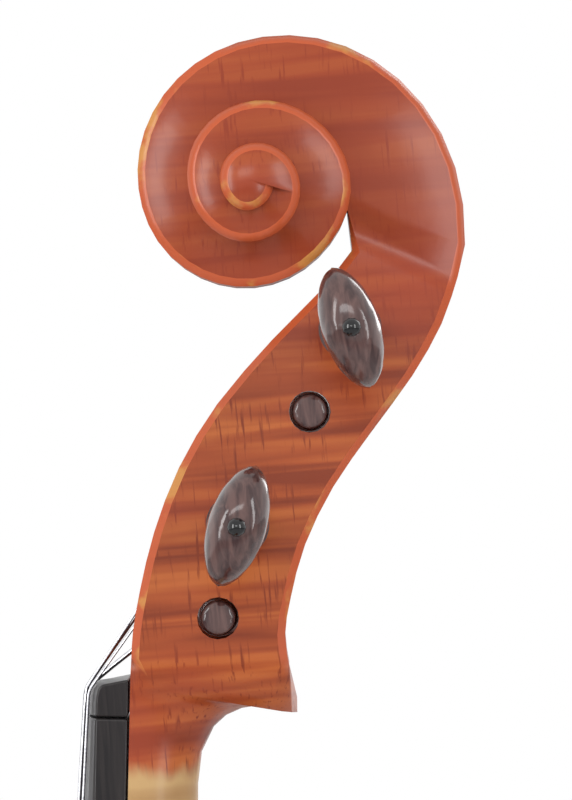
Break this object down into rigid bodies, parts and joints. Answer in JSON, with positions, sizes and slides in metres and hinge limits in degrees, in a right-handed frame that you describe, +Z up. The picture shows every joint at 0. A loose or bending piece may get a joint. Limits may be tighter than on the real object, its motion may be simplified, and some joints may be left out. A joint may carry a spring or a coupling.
{
  "type": "viola",
  "caption": "Viola with a carved scroll, flat-headed tuning pegs, arched plates, sound holes, bridge and tailpiece.",
  "frame": {"origin": "where the two prongs of a hanger carry the scroll, under the middle of the volute", "axes": "+Z up along the body towards the scroll, -X towards the strings, +X towards the back, +Y towards the bass side"},
  "size_m": [0.1332, 0.237, 0.6963],
  "materials": {
    "varnished_maple": "varnished flamed maple",
    "spruce_top": "varnished spruce",
    "ebony": "polished ebony",
    "rosewood": "polished rosewood",
    "bridge_maple": "plain maple",
    "bare_wood": "bare spruce",
    "string_metal": "wound steel",
    "black_nylon": "nylon cord",
    "pip_black": "polished black"
  },
  "bodies": {
    "root": {"neck_scroll": "varnished_maple", "fingerboard": "ebony", "nut": "ebony", "saddle": "ebony", "back_plate": "varnished_maple", "top_plate": "spruce_top", "bridge": "bridge_maple", "bass_upper_rib": "varnished_maple", "bass_middle_rib": "varnished_maple", "bass_lower_rib": "varnished_maple", "treble_upper_rib": "varnished_maple", "treble_middle_rib": "varnished_maple", "treble_lower_rib": "varnished_maple", "top_block": "bare_wood", "bottom_block": "bare_wood", "bass_upper_corner_block": "bare_wood", "bass_lower_corner_block": "bare_wood", "treble_upper_corner_block": "bare_wood", "treble_lower_corner_block": "bare_wood", "bass_upper_front_lining": "bare_wood", "bass_upper_back_lining": "bare_wood", "bass_middle_front_lining": "bare_wood", "bass_middle_back_lining": "bare_wood", "bass_lower_front_lining": "bare_wood", "bass_lower_back_lining": "bare_wood", "treble_upper_front_lining": "bare_wood", "treble_upper_back_lining": "bare_wood", "treble_middle_front_lining": "bare_wood", "treble_middle_back_lining": "bare_wood", "treble_lower_front_lining": "bare_wood", "treble_lower_back_lining": "bare_wood", "bass_bar": "bare_wood", "sound_post": "bare_wood", "end_button": "rosewood", "tailpiece": "rosewood", "tailpiece_fret": "ebony", "tailgut": "black_nylon", "string_c": "string_metal", "string_g": "string_metal", "string_d": "string_metal", "string_a": "string_metal"},
    "peg_c_body": {"peg_c": "rosewood", "peg_pip_c": "pip_black"},
    "peg_g_body": {"peg_g": "rosewood", "peg_pip_g": "pip_black"},
    "peg_d_body": {"peg_d": "rosewood", "peg_pip_d": "pip_black"},
    "peg_a_body": {"peg_a": "rosewood", "peg_pip_a": "pip_black"}
  },
  "joints": [
    {"name": "peg_c_turn", "type": "hinge", "parent": "root", "child": "peg_c_body", "pos_m": [-0.01053, 0, -0.06172], "axis": [0, 1, 0], "continuous": true},
    {"name": "peg_g_turn", "type": "hinge", "parent": "root", "child": "peg_g_body", "pos_m": [0.01011, 0, -0.02454], "axis": [0, 1, 0], "continuous": true},
    {"name": "peg_d_turn", "type": "hinge", "parent": "root", "child": "peg_d_body", "pos_m": [0.01896, 0, -0.00971], "axis": [0, 1, 0], "continuous": true},
    {"name": "peg_a_turn", "type": "hinge", "parent": "root", "child": "peg_a_body", "pos_m": [-0.00521, 0, -0.0443], "axis": [0, 1, 0], "continuous": true}
  ]
}
